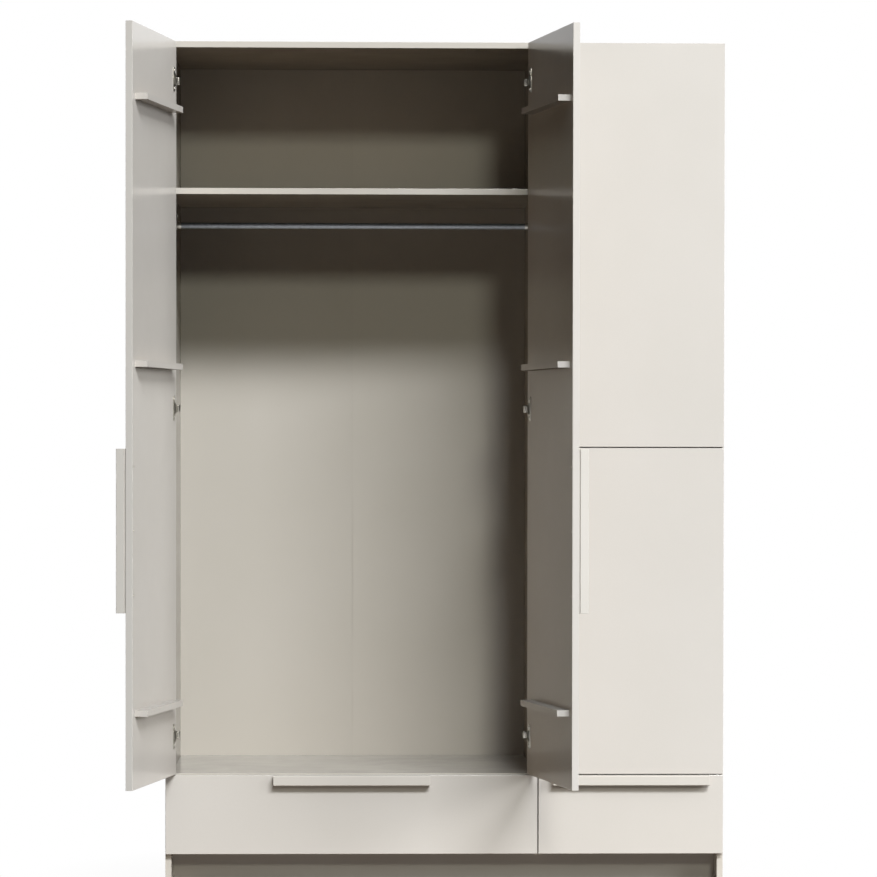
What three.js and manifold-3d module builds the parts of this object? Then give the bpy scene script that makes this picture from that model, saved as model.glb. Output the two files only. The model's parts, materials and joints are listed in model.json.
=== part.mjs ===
// A three-door wardrobe with two drawers below, a chifforobe, standing on a set-back plinth.
// Millimetres. X runs to the right seen from the front, Y to the back, Z up.
// The origin lies on the floor, under the middle of the carcass's footprint.
// The two tall doors are modelled open, as they stand at rest. Every other moving piece is shut.

import * as THREE from "three";
import { mergeVertices } from "three/addons/utils/BufferGeometryUtils.js";
import Module from "manifold-3d";

const wasm = await Module();
wasm.setup();

// Driving sizes of the carcass
const width = 1500;
const depth = 600;
const height = 2300;
const board = 16;
const back_sheet = 3;
const fit_gap = 0.3;
const base_clear_height = 101;
const plinth_setback = 83;
const plinth_brace_place = 0;

// Doors and drawer fronts
const front_board = 18;
const front_gap = 2;
const front_inset = 1.5;
const front_split = 3;
const drawer_door_split = 2.5;
const top_reveal = 2;
const edge_round = 1;
const drawer_front_lift = 6;
const drawer_front_height = 211.5;
const lower_door_height = 876;
const open_angle = THREE.MathUtils.degToRad(100.5);

// Inside: floors, shelves and the rail
const floor_above_split = 2.3;
const hat_shelf_clear = 376;
const shelf_setback = 2;
const fixed_shelf_thickness = 16;
const loose_shelf_play = 0.5;
const loose_shelf_setback = 20;
const upper_loose_shelf_share = 0.5;
const lower_loose_shelf_share = 0.5;
const rail_radius = 8;
const rail_wall = 1.2;
const rail_below_shelf = 67.5;
const rail_from_front = 295;
const socket_plate = 3;
const socket_radius = 12;
const socket_collar_length = 11;
const socket_ear_lift = 27;
const socket_ear_radius = 6;

// Stiffening battens on the doors
const batten_thickness = 16;
const batten_depth = 32;
const batten_to_hinge_edge = 60;
const batten_to_free_edge = 30;
const batten_from_top = 189;
const batten_from_bottom = 196;
const batten_middle_lift = 1090;
const weld = 0.5;

// Handles: a lath on a narrower foot
const handle_length = 420;
const handle_width = 26.5;
const handle_depth = 25.5;
const handle_foot_height = 3.5;
const handle_foot_inset = 3;
const handle_bevel = 1.5;
const handle_top_reveal = 3;

// Drawer boxes and the strips that they run on
const drawer_board = 15;
const drawer_box_height = 150;
const drawer_back_clear = 99;
const drawer_box_lift = 10;
const drawer_side_play = 2;
const drawer_sheet = 4;
const drawer_sheet_lift = 10;
const drawer_sheet_groove = 6;
const runner_groove_height = 17;
const runner_groove_depth = 8;
const runner_groove_lift = 62;
const runner_strip_reach = 9;
const runner_strip_setback = 4;
const runner_strip_short = 14;

// Concealed hinges. A place on a hinge is (in from the door's hinge edge, back from the door's
// back face, with the door shut).
const hinge_from_edge = 104;
const pole_in = 8;
const pole_front = 19;
const cup_from_edge = 3;
const cup_radius = 17.5;
const cup_wall = 1;
const cup_depth = 12.4;
const cup_flange_length = 65;
const cup_flange_width = 18;
const cup_flange_thickness = 1;
const cup_flange_corner = 5;
const cup_rim_width = 1.75;
const cup_rim_thickness = 0.5;
const cup_rim_notch_play = 1;
const cup_pivot_in = 7;
const cup_pivot_depth = 5;
const arm_pivot_reach = 29;
const pin_radius = 0.85;
const pin_length = 20;
const eye_bore = 1.15;
const eye_radius = 1.95;
const strap_width = 10;
const strap_thickness = 1.5;
const strap_lift = 1.4;
const strap_past_edge = 1.6;
const cheek_gap = 0.4;
const cheek_thickness = 1.4;
const nose_radius = 4.2;
const arm_rear_height = 14;
const arm_rear_place = 60;
const arm_foot_place = 16;
const web_front_place = 14;
const web_thickness = 1.5;
const plate_thickness = 2.5;
const plate_front_place = 20;
const plate_width = 18;
const wing_place = 37;
const wing_width = 18;
const wing_length = 52;
const block_place = 44;
const block_length = 12;

// Facets on round pieces, how far a cut runs past what it cuts, and how close two points that are
// one point lie
const round_steps = 24;
const small_round_steps = 12;
const corner_steps = 3;
const overrun = 1;
const same_point = 0.0001;

// Places worked out from the sizes above
const front_y = -depth / 2;
const inner_back_y = depth / 2 - back_sheet;
const door_back_y = front_y - front_gap;
const inner_x = width / 2 - board;
const divider_x = width / 2 - width / 3;
const base_top = base_clear_height + board;
const plinth_y = front_y + plinth_setback;
const drawer_front_bottom = base_top + drawer_front_lift;
const drawer_front_top = drawer_front_bottom + drawer_front_height;
const door_bottom = drawer_front_top + drawer_door_split;
const door_top = height - top_reveal;
const floor_top = drawer_front_top + drawer_door_split / 2 + floor_above_split;
const lower_door_top = door_bottom + lower_door_height;
const upper_door_bottom = lower_door_top + front_split;
const fixed_shelf_bottom = lower_door_top + front_split / 2 - fixed_shelf_thickness / 2;
const ceiling = height - board;
const hat_shelf_bottom = ceiling - hat_shelf_clear - board;
const rail_z = hat_shelf_bottom - rail_below_shelf;
const leaf_width = width / 3 - front_inset - front_split / 2;

const finishes = {
  white_board: { color: 0xe2dfd9, roughness: 0.45, metalness: 0 },
  white_edge: { color: 0xe8e5df, roughness: 0.4, metalness: 0 },
  back_sheet: { color: 0xdcd8d0, roughness: 0.7, metalness: 0 },
  steel: { color: 0xb9bcc0, roughness: 0.3, metalness: 1 },
  strip: { color: 0xcfc9bf, roughness: 0.5, metalness: 0 },
};

const wardrobe = new THREE.Group();

// Solids: closed geometry in, joined or cut, and closed geometry out

function to_solid(geometry) {
  const bare = geometry.clone();
  bare.deleteAttribute("normal");
  bare.deleteAttribute("uv");
  const merged = mergeVertices(bare, same_point);
  const mesh = new wasm.Mesh({
    numProp: 3,
    vertProperties: new Float32Array(merged.attributes.position.array),
    triVerts: new Uint32Array(merged.index.array),
  });
  return new wasm.Manifold(mesh);
}

function to_geometry(solid) {
  const mesh = solid.getMesh();
  const geometry = new THREE.BufferGeometry();
  geometry.setAttribute("position", new THREE.BufferAttribute(mesh.vertProperties, 3));
  geometry.setIndex(new THREE.BufferAttribute(mesh.triVerts, 1));
  geometry.computeVertexNormals();
  return geometry;
}

function joined(...geometries) {
  return to_geometry(geometries.map(to_solid).reduce((sum, next) => sum.add(next)));
}

function cut(geometry, ...tools) {
  return to_geometry(tools.map(to_solid).reduce((rest, tool) => rest.subtract(tool), to_solid(geometry)));
}

// A block between two corners, given in any order
function block(a, b) {
  const low = a.map((value, axis) => Math.min(value, b[axis]));
  const high = a.map((value, axis) => Math.max(value, b[axis]));
  const size = high.map((value, axis) => value - low[axis]);
  const geometry = new THREE.BoxGeometry(...size);
  return geometry.translate(...low.map((value, axis) => value + size[axis] / 2));
}

// An upright prism over an outline in plan
function upright(points, bottom, top) {
  const shape = new THREE.Shape(points.map(([x, y]) => new THREE.Vector2(x, y)));
  const geometry = new THREE.ExtrudeGeometry(shape, { depth: top - bottom, bevelEnabled: false });
  return geometry.translate(0, 0, bottom);
}

// An upright round bar
function upright_round(x, y, bottom, top, radius, steps) {
  const geometry = new THREE.CylinderGeometry(radius, radius, top - bottom, steps);
  return geometry.rotateX(Math.PI / 2).translate(x, y, (bottom + top) / 2);
}

// A round bar along X
function level_round(left, right, y, z, radius) {
  const geometry = new THREE.CylinderGeometry(radius, radius, right - left, round_steps);
  return geometry.rotateZ(Math.PI / 2).translate((left + right) / 2, y, z);
}

// A front board with rounded arrises on its two faces, in X and Z, its back face at y = 0
function faced_board(left, right, bottom, top) {
  const shape = new THREE.Shape([
    new THREE.Vector2(left, bottom),
    new THREE.Vector2(right, bottom),
    new THREE.Vector2(right, top),
    new THREE.Vector2(left, top),
  ]);
  const geometry = new THREE.ExtrudeGeometry(shape, {
    depth: front_board - 2 * edge_round,
    bevelEnabled: true,
    bevelThickness: edge_round,
    bevelSize: edge_round,
    bevelOffset: -edge_round,
    bevelSegments: 2,
  });
  return geometry.rotateX(Math.PI / 2).translate(0, -edge_round, 0);
}

// A plate with round corners that lies on a back face at y = 0 and stands proud of it
function rounded_plate(x, z, plate_x, plate_z, corner, thickness) {
  const reach_x = plate_x / 2 - corner;
  const reach_z = plate_z / 2 - corner;
  const shape = new THREE.Shape();
  for (const [turn, side_x, side_z] of [[0, 1, 1], [1, -1, 1], [2, -1, -1], [3, 1, -1]]) {
    const start = (turn * Math.PI) / 2;
    shape.absarc(side_x * reach_x, side_z * reach_z, corner, start, start + Math.PI / 2, false);
  }
  shape.closePath();
  const geometry = new THREE.ExtrudeGeometry(shape, {
    depth: thickness + weld,
    bevelEnabled: false,
    curveSegments: corner_steps,
  });
  return geometry.rotateX(Math.PI / 2).translate(x, thickness, z);
}

function piece(parent, name, geometry, finish) {
  const mesh = new THREE.Mesh(geometry, new THREE.MeshStandardMaterial(finishes[finish]));
  mesh.name = name;
  parent.add(mesh);
  return mesh;
}

// The carcass

function add_board(name, low, high, finish = "white_board") {
  piece(wardrobe, name, block(low, high), finish);
}

function add_carcass() {
  const clear_x = inner_x - fit_gap;
  const divider_left = divider_x - board / 2;
  const divider_right = divider_x + board / 2;
  const clear_back = inner_back_y - fit_gap;
  for (const [name, sign] of [["side_left", -1], ["side_right", 1]])
    add_board(name, [sign * inner_x, front_y, 0], [(sign * width) / 2, inner_back_y, height]);
  add_board("top_panel", [-clear_x, front_y, ceiling], [clear_x, inner_back_y, height]);
  add_board(
    "bottom_panel",
    [-clear_x, plinth_y + board + fit_gap, base_clear_height],
    [clear_x, inner_back_y, base_top],
  );
  add_board(
    "divider",
    [divider_left, front_y, base_top + fit_gap],
    [divider_right, inner_back_y, ceiling - fit_gap],
  );
  const floor_bottom = floor_top - board;
  const left_end = divider_left - fit_gap;
  const right_start = divider_right + fit_gap;
  add_board("floor_left", [-clear_x, front_y, floor_bottom], [left_end, clear_back, floor_top]);
  add_board("floor_right", [right_start, front_y, floor_bottom], [clear_x, clear_back, floor_top]);
  add_board(
    "hat_shelf",
    [-clear_x, front_y + shelf_setback, hat_shelf_bottom],
    [left_end, clear_back, hat_shelf_bottom + board],
  );
  add_board(
    "fixed_shelf",
    [right_start, front_y + shelf_setback, fixed_shelf_bottom],
    [clear_x, clear_back, fixed_shelf_bottom + fixed_shelf_thickness],
  );
  add_loose_shelves(divider_right);
  add_plinth(clear_x);
  add_back();
}

function add_loose_shelves(divider_right) {
  const upper_floor = fixed_shelf_bottom + fixed_shelf_thickness;
  const shelves = [
    ["loose_shelf_upper", upper_floor, ceiling, upper_loose_shelf_share],
    ["loose_shelf_lower", floor_top, fixed_shelf_bottom, lower_loose_shelf_share],
  ];
  for (const [name, below, above, share] of shelves) {
    const middle = below + (above - below) * share;
    add_board(
      name,
      [divider_right + loose_shelf_play, front_y + loose_shelf_setback, middle - board / 2],
      [inner_x - loose_shelf_play, inner_back_y - loose_shelf_play, middle + board / 2],
    );
  }
}

// The plinth board covers the bottom board's front edge. A brace stands behind it, under the board.
function add_plinth(clear_x) {
  add_board("plinth_front", [-clear_x, plinth_y, 0], [clear_x, plinth_y + board, base_top]);
  add_board(
    "plinth_brace",
    [plinth_brace_place - board / 2, plinth_y + board + fit_gap, 0],
    [plinth_brace_place + board / 2, inner_back_y, base_clear_height - fit_gap],
  );
}

// Two thin sheets close the back. They meet in the middle of the wide compartment.
function add_back() {
  const seam_x = (divider_x - board / 2 - inner_x) / 2;
  const sheet_y = inner_back_y + fit_gap;
  const sheets = [
    ["back_left", front_inset - width / 2, seam_x - fit_gap / 2],
    ["back_right", seam_x + fit_gap / 2, width / 2 - front_inset],
  ];
  for (const [name, left, right] of sheets)
    add_board(
      name,
      [left, sheet_y, base_clear_height],
      [right, sheet_y + back_sheet, height - front_inset],
      "back_sheet",
    );
}

// The hanging rail, a tube with a drop-shaped screw-on socket at each end

function add_rail() {
  const left = -inner_x + fit_gap;
  const right = divider_x - board / 2 - fit_gap;
  const rail_y = front_y + rail_from_front;
  const tube = level_round(left + weld, right - weld, rail_y, rail_z, rail_radius);
  const solids = [tube];
  for (const [wall, inward] of [[left, 1], [right, -1]]) {
    solids.push(socket_plate_at(wall, inward, rail_y));
    const collar_end = wall + inward * (socket_plate + socket_collar_length);
    const collar_from = Math.min(wall, collar_end);
    const collar_to = Math.max(wall, collar_end);
    solids.push(level_round(collar_from, collar_to, rail_y, rail_z, rail_radius + rail_wall));
  }
  const bore = level_round(left - overrun, right + overrun, rail_y, rail_z, rail_radius - rail_wall);
  piece(wardrobe, "hanging_rail", cut(joined(...solids), bore), "steel");
}

// The socket's plate: a large round at the tube, drawn up to a small round at the screw
function socket_plate_at(wall, inward, rail_y) {
  const lean = Math.asin((socket_radius - socket_ear_radius) / socket_ear_lift);
  const shape = new THREE.Shape();
  shape.absarc(0, 0, socket_radius, Math.PI - lean, lean, false);
  shape.absarc(0, socket_ear_lift, socket_ear_radius, lean, Math.PI - lean, false);
  shape.closePath();
  const geometry = new THREE.ExtrudeGeometry(shape, {
    depth: socket_plate,
    bevelEnabled: false,
    curveSegments: small_round_steps,
  });
  geometry.rotateX(Math.PI / 2).rotateZ(Math.PI / 2);
  const start = inward > 0 ? wall : wall - socket_plate;
  return geometry.translate(start, rail_y, rail_z);
}

// The hinge's path. Shut, the strap's front eye is in the cup and its rear eye in the arm's nose.
// Both stand at the same distance from each other again at open_angle, because the arm's pivot
// lies on the line that halves the angle that the cup's pivot turns through about the pole.

const pole = new THREE.Vector2(pole_in, -pole_front);
const cup_pivot = new THREE.Vector2(cup_pivot_in, -cup_pivot_depth);
const pole_to_cup = cup_pivot.clone().sub(pole);
const arm_angle = pole_to_cup.angle() - open_angle / 2;
const arm_pivot = new THREE.Vector2(Math.cos(arm_angle), Math.sin(arm_angle))
  .multiplyScalar(arm_pivot_reach)
  .add(pole);

// The arm's pivot as the door sees it, with the door turned open by an angle
function arm_pivot_from_door(angle) {
  return arm_pivot.clone().rotateAround(pole, angle);
}

// The strap's direction on the door, from its cup pivot to the arm's pivot
function strap_angle(angle) {
  return arm_pivot_from_door(angle).sub(cup_pivot).angle();
}

const strap_reach = arm_pivot.distanceTo(cup_pivot);

// The strap's middle line in its own frame: out of the cup, over the door's edge, to the arm
function strap_line() {
  const turned = -strap_angle(open_angle);
  const over_cup = new THREE.Vector2(0, cup_pivot_depth + strap_lift);
  const past_edge = new THREE.Vector2(-cup_pivot_in - strap_past_edge, cup_pivot_depth + strap_lift);
  const origin = new THREE.Vector2(0, 0);
  const end = new THREE.Vector2(strap_reach, 0);
  return [origin, over_cup.rotateAround(origin, turned), past_edge.rotateAround(origin, turned), end];
}

// The two sides of a line with a thickness, mitred at its bends
function thick_outline(line, thickness) {
  const near = [];
  const far = [];
  line.forEach((point, index) => {
    const before = line[Math.max(index - 1, 0)];
    const after = line[Math.min(index + 1, line.length - 1)];
    const into = (index > 0 ? point.clone().sub(before) : after.clone().sub(point)).normalize();
    const out = (index < line.length - 1 ? after.clone().sub(point) : into.clone()).normalize();
    const mitre = into.clone().add(out).normalize();
    const normal = new THREE.Vector2(-mitre.y, mitre.x);
    const reach = thickness / 2 / mitre.dot(into);
    near.push(point.clone().addScaledVector(normal, reach));
    far.unshift(point.clone().addScaledVector(normal, -reach));
  });
  return near.concat(far);
}

// The strap of a hinge: bent sheet between two rolled eyes. mirror is -1 on a right-hand door.
function hinge_strap(mirror) {
  const bottom = -strap_width / 2;
  const top = strap_width / 2;
  const outline = thick_outline(strap_line(), strap_thickness).map(({ x, y }) => [mirror * x, y]);
  const rear_x = mirror * strap_reach;
  const eyes = [0, rear_x].map((x) => upright_round(x, 0, bottom, top, eye_radius, small_round_steps));
  const bores = [0, rear_x].map((x) =>
    upright_round(x, 0, bottom - overrun, top + overrun, eye_bore, small_round_steps),
  );
  return cut(joined(upright(outline, bottom, top), ...eyes), ...bores);
}

// The arm of a hinge on its winged plate. panel_in is the panel's face, in from the hinge edge.
function hinge_arm(mirror, panel_in) {
  const cheek_low = strap_width / 2 + cheek_gap;
  const cheek_high = cheek_low + cheek_thickness;
  const foot_x = panel_in + plate_thickness - weld;
  const rear_x = panel_in + arm_rear_height;
  const nose_top = arm_pivot.x + nose_radius;
  const web_share = (web_front_place - arm_pivot.y) / (arm_rear_place - arm_pivot.y);
  const web_front_x = nose_top + (rear_x - nose_top) * web_share;
  const plan = (points) => points.map(([x, y]) => [mirror * x, y]);
  const cheek = plan([
    [arm_pivot.x - nose_radius, arm_pivot.y],
    [nose_top, arm_pivot.y],
    [rear_x, arm_rear_place],
    [foot_x, arm_rear_place],
    [foot_x, arm_foot_place],
  ]);
  const web = plan([
    [web_front_x, web_front_place],
    [rear_x, arm_rear_place],
    [rear_x - web_thickness, arm_rear_place],
    [web_front_x - web_thickness, web_front_place],
  ]);
  const solids = [upright(web, -cheek_high, cheek_high)];
  for (const [low, high] of [[cheek_low, cheek_high], [-cheek_high, -cheek_low]]) {
    solids.push(upright(cheek, low, high));
    solids.push(upright_round(mirror * arm_pivot.x, arm_pivot.y, low, high, nose_radius, round_steps));
  }
  const panel_x = mirror * (panel_in + fit_gap);
  const plate_x = mirror * (panel_in + plate_thickness);
  solids.push(
    block([panel_x, plate_front_place, -plate_width / 2], [plate_x, arm_rear_place, plate_width / 2]),
    block(
      [panel_x, wing_place - wing_width / 2, -wing_length / 2],
      [plate_x, wing_place + wing_width / 2, wing_length / 2],
    ),
    block(
      [mirror * foot_x, block_place, -cheek_high],
      [mirror * (rear_x - web_thickness), block_place + block_length, cheek_high],
    ),
  );
  return joined(...solids);
}

// Doors. A door is modelled shut, its hinge edge at x = 0 and its back face at y = 0, and then
// hung in a group that turns about the pole.

// The hole, rim, flange and pin of each hinge cup, at the heights given. The rim is open where the
// strap comes over it.
function with_cups(panel, mirror, heights) {
  const cup_x = mirror * (cup_from_edge + cup_radius);
  const bore_radius = cup_radius - cup_wall;
  const bore_top = cup_flange_thickness + overrun;
  const rim_radius = cup_radius + cup_rim_width;
  const notch_half = strap_width / 2 + cup_rim_notch_play;
  const rims = heights.map((z) => {
    const rim = new THREE.CylinderGeometry(rim_radius, rim_radius, cup_rim_thickness + weld, round_steps);
    rim.translate(cup_x, (cup_rim_thickness - weld) / 2, z);
    const notch = block(
      [cup_x - mirror * (rim_radius + overrun), -weld - overrun, z - notch_half],
      [cup_x, cup_rim_thickness + overrun, z + notch_half],
    );
    return cut(rim, notch);
  });
  const flange_x = cup_x + (mirror * cup_flange_width) / 2;
  const flanges = heights.map((z) =>
    rounded_plate(
      flange_x,
      z,
      cup_flange_width,
      cup_flange_length,
      cup_flange_corner,
      cup_flange_thickness,
    ),
  );
  const holes = heights.map((z) => {
    const hole = new THREE.CylinderGeometry(bore_radius, bore_radius, bore_top + cup_depth, round_steps);
    return hole.translate(cup_x, (bore_top - cup_depth) / 2, z);
  });
  const pins = heights.map((z) =>
    upright_round(
      mirror * cup_pivot_in,
      -cup_pivot_depth,
      z - pin_length / 2,
      z + pin_length / 2,
      pin_radius,
      small_round_steps,
    ),
  );
  return joined(cut(joined(panel, ...rims, ...flanges), ...holes), ...pins);
}

function with_battens(panel, mirror, heights) {
  const battens = heights.map((z) =>
    block(
      [mirror * batten_to_hinge_edge, -weld, z - batten_thickness / 2],
      [mirror * (leaf_width - batten_to_free_edge), batten_depth, z + batten_thickness / 2],
    ),
  );
  return joined(panel, ...battens);
}

// The lath's section: across from the door's free edge, out from its front face
function handle_section() {
  const far = handle_width;
  return [
    [handle_foot_inset, fit_gap],
    [far - handle_foot_inset, fit_gap],
    [far - handle_foot_inset, handle_foot_height],
    [far, handle_foot_height],
    [far, handle_depth - handle_bevel],
    [far - handle_bevel, handle_depth],
    [handle_bevel, handle_depth],
    [0, handle_depth - handle_bevel],
    [0, handle_foot_height],
    [handle_foot_inset, handle_foot_height],
  ];
}

function add_door(door) {
  const { name, edge_x, mirror, bottom, top, panel_in, hinge_heights, batten_heights, handle_bottom } = door;
  const turn = -mirror * door.opened;
  const swing = new THREE.Group();
  swing.position.set(edge_x + mirror * pole.x, door_back_y + pole.y, 0);
  swing.rotation.z = turn;
  const leaf = new THREE.Group();
  leaf.position.set(-mirror * pole.x, -pole.y, 0);
  swing.add(leaf);
  wardrobe.add(swing);

  const far_x = mirror * leaf_width;
  const panel = faced_board(Math.min(0, far_x), Math.max(0, far_x), bottom, top);
  const dressed = with_battens(with_cups(panel, mirror, hinge_heights), mirror, batten_heights);
  piece(leaf, "door_" + name, dressed, "white_board");

  const section = handle_section().map(([across, out]) => [
    far_x - mirror * across,
    -front_board - out,
  ]);
  const lath = upright(section, handle_bottom, handle_bottom + handle_length);
  piece(leaf, "handle_" + name, lath, "white_edge");

  hinge_heights.forEach((z, index) => {
    const strap = piece(leaf, "hinge_strap_" + name + "_" + (index + 1), hinge_strap(mirror), "steel");
    strap.position.set(mirror * cup_pivot.x, cup_pivot.y, z);
    strap.rotation.z = mirror * strap_angle(door.opened);
    const arm = piece(
      wardrobe,
      "hinge_arm_" + name + "_" + (index + 1),
      hinge_arm(mirror, panel_in),
      "steel",
    );
    arm.position.set(edge_x, door_back_y, z);
  });
}

function add_doors() {
  const side_in = board - front_inset;
  const divider_in = (board - front_split) / 2;
  const low_hinge = door_bottom + hinge_from_edge;
  const high_hinge = door_top - hinge_from_edge;
  const low_batten = door_bottom + batten_from_bottom;
  const high_batten = door_top - batten_from_top;
  const tall = {
    bottom: door_bottom,
    top: door_top,
    opened: open_angle,
    hinge_heights: [low_hinge, (low_hinge + high_hinge) / 2, high_hinge],
    batten_heights: [low_batten, door_bottom + batten_middle_lift, high_batten],
    handle_bottom: lower_door_top - handle_top_reveal - handle_length,
  };
  add_door({ ...tall, name: "left", edge_x: front_inset - width / 2, mirror: 1, panel_in: side_in });
  add_door({
    ...tall,
    name: "middle",
    edge_x: divider_x - front_split / 2,
    mirror: -1,
    panel_in: divider_in,
  });
  const right = { edge_x: width / 2 - front_inset, mirror: -1, opened: 0, panel_in: side_in };
  add_door({
    ...right,
    name: "right_lower",
    bottom: door_bottom,
    top: lower_door_top,
    hinge_heights: [low_hinge, lower_door_top - hinge_from_edge],
    batten_heights: [low_batten, lower_door_top - batten_from_top],
    handle_bottom: lower_door_top - handle_top_reveal - handle_length,
  });
  add_door({
    ...right,
    name: "right_upper",
    bottom: upper_door_bottom,
    top: door_top,
    hinge_heights: [upper_door_bottom + hinge_from_edge, high_hinge],
    batten_heights: [upper_door_bottom + batten_from_bottom, high_batten],
    handle_bottom: upper_door_bottom + handle_top_reveal,
  });
}

// Drawers. The sides are grooved outside for the strip that carries them, and inside for the
// bottom sheet. open_left and open_right are the faces of the opening that the box runs in.

function add_drawer(name, front_left, front_right, open_left, open_right) {
  const drawer = new THREE.Group();
  wardrobe.add(drawer);
  const box_bottom = base_top + drawer_box_lift;
  const box_top = box_bottom + drawer_box_height;
  const box_front = door_back_y + fit_gap;
  const box_back = inner_back_y - drawer_back_clear;
  const sheet_bottom = box_bottom + drawer_sheet_lift;
  const sheet_top = sheet_bottom + drawer_sheet;
  const inner_left = open_left + drawer_side_play + drawer_board;
  const inner_right = open_right - drawer_side_play - drawer_board;
  const sheet_left = inner_left - drawer_sheet_groove;
  const sheet_right = inner_right + drawer_sheet_groove;
  const sheet_slot = block(
    [sheet_left, door_back_y - drawer_sheet_groove, sheet_bottom - fit_gap],
    [sheet_right, box_back + overrun, sheet_top + fit_gap],
  );

  const front = faced_board(front_left, front_right, drawer_front_bottom, drawer_front_top);
  front.translate(0, door_back_y, 0);
  piece(drawer, name + "_front", cut(front, sheet_slot), "white_board");

  const strip_z = box_bottom + runner_groove_lift + runner_groove_height / 2;
  const strip_half = runner_groove_height / 2 - fit_gap;
  const strip_front = front_y + runner_strip_setback;
  const flanks = [
    ["left", open_left, 1],
    ["right", open_right, -1],
  ];
  for (const [flank, wall, inward] of flanks) {
    const outer = wall + inward * drawer_side_play;
    const side = block([outer, box_front, box_bottom], [outer + inward * drawer_board, box_back, box_top]);
    const groove = block(
      [outer - inward * overrun, box_front - overrun, strip_z - runner_groove_height / 2],
      [outer + inward * runner_groove_depth, box_back + overrun, strip_z + runner_groove_height / 2],
    );
    piece(drawer, name + "_side_" + flank, cut(side, groove, sheet_slot), "white_board");
    const strip = block(
      [wall + inward * fit_gap, strip_front, strip_z - strip_half],
      [wall + inward * runner_strip_reach, box_back - runner_strip_short, strip_z + strip_half],
    );
    piece(wardrobe, name + "_runner_" + flank, strip, "strip");
  }

  const back = block(
    [inner_left + fit_gap, box_back - drawer_board, sheet_top + fit_gap],
    [inner_right - fit_gap, box_back, box_top],
  );
  piece(drawer, name + "_back", back, "white_board");
  const sheet = block(
    [sheet_left + fit_gap, door_back_y - drawer_sheet_groove + fit_gap, sheet_bottom],
    [sheet_right - fit_gap, box_back, sheet_top],
  );
  piece(drawer, name + "_bottom", sheet, "back_sheet");
  add_drawer_handle(drawer, name, (front_left + front_right) / 2);
}

// The drawer's lath lies level, its upper side flush with the front's upper edge
function add_drawer_handle(drawer, name, middle_x) {
  const section = handle_section().map(([across, out]) => [out, across]);
  const lath = upright(section, 0, handle_length);
  const level = new THREE.Matrix4().makeBasis(
    new THREE.Vector3(0, -1, 0),
    new THREE.Vector3(0, 0, -1),
    new THREE.Vector3(1, 0, 0),
  );
  lath.applyMatrix4(level);
  lath.translate(middle_x - handle_length / 2, door_back_y - front_board, drawer_front_top);
  piece(drawer, name + "_handle", lath, "white_edge");
}

function add_drawers() {
  const divider_left = divider_x - board / 2;
  const divider_right = divider_x + board / 2;
  const outer = width / 2 - front_inset;
  const half_split = front_split / 2;
  add_drawer("drawer_left", -outer, divider_x - half_split, -inner_x, divider_left);
  add_drawer("drawer_right", divider_x + half_split, outer, divider_right, inner_x);
}

add_carcass();
add_rail();
add_doors();
add_drawers();

export default wardrobe;
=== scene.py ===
# A three-door wardrobe with two drawers: its finishes, its small fittings, the light and the camera.
# Lengths are in metres. X runs to the right seen from the front, Y to the back, Z up.

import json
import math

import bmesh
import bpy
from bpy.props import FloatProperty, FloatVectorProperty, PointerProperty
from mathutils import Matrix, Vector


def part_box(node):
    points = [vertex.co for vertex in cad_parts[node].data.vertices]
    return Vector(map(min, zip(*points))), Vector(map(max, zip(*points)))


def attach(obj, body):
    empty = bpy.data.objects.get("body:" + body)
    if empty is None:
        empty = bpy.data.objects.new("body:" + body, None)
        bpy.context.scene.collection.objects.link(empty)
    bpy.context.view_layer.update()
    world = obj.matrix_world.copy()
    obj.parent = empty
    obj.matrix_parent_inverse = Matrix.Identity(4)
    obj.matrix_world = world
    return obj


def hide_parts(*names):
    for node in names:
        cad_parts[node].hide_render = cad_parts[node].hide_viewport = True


bl_info = {
    "name": "Three-door wardrobe",
    "version": (1, 0, 0),
    "blender": (4, 5, 0),
    "location": "View3D > Sidebar > Wardrobe",
    "description": "Dresses a panel wardrobe with its finishes and fittings",
    "category": "Object",
}

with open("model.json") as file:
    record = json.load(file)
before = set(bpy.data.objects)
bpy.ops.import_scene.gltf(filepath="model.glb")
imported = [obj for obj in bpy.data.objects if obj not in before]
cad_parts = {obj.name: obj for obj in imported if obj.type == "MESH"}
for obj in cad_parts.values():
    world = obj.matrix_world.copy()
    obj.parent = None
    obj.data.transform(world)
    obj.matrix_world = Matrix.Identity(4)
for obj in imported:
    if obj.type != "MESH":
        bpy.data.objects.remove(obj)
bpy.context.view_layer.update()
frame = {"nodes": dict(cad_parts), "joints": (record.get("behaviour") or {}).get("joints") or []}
NODES = frame["nodes"]
JOINTS = {joint["name"]: joint for joint in frame["joints"]}
DOORS = ("left", "middle", "right_lower", "right_upper")
DRAWERS = ("drawer_left", "drawer_right")
LOOSE_SHELVES = ("loose_shelf_upper", "loose_shelf_lower")
PHOTO_PIXELS = 877

# The axis that each door turns about lies this far in from its hinge edge and before its back face
POLE_IN = 0.008
POLE_FRONT = 0.019

# Each screw on the back of a hinge's arm: how far it is behind the shut door, and its radius
WEB_SCREWS = ((0.0235, 0.0026), (0.0485, 0.0032))
WEB_SCREW_SINK = 0.0003

# Sharper creases than these stay sharp on the small pieces, and are rounded on the boards
PIECE_CREASE = math.radians(35)
BOARD_CREASE = math.radians(30)

# How far smudges take the roughness below and above its mean. No range may cross 0.27, where Cycles
# starts to denoise a surface's mirror image apart, because hard-edged blotches come up there.
BOARD_SMUDGE = (-0.03, 0.025)
METAL_SMUDGE = (-0.05, 0.09)

# The right one of the two back sheets is this much lighter
RIGHT_SHEET_LIFT = 1.016

# The floor's white, near to and far from its middle, and the distances between which it changes
FLOOR_WHITE = (0.86, 1.0)
FLOOR_FADE = (0.3, 1.25)

# The mirrored studio grows brighter between these two directions, as shares of straight back
BACKDROP_EDGES = (-0.25, 0.15)

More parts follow.
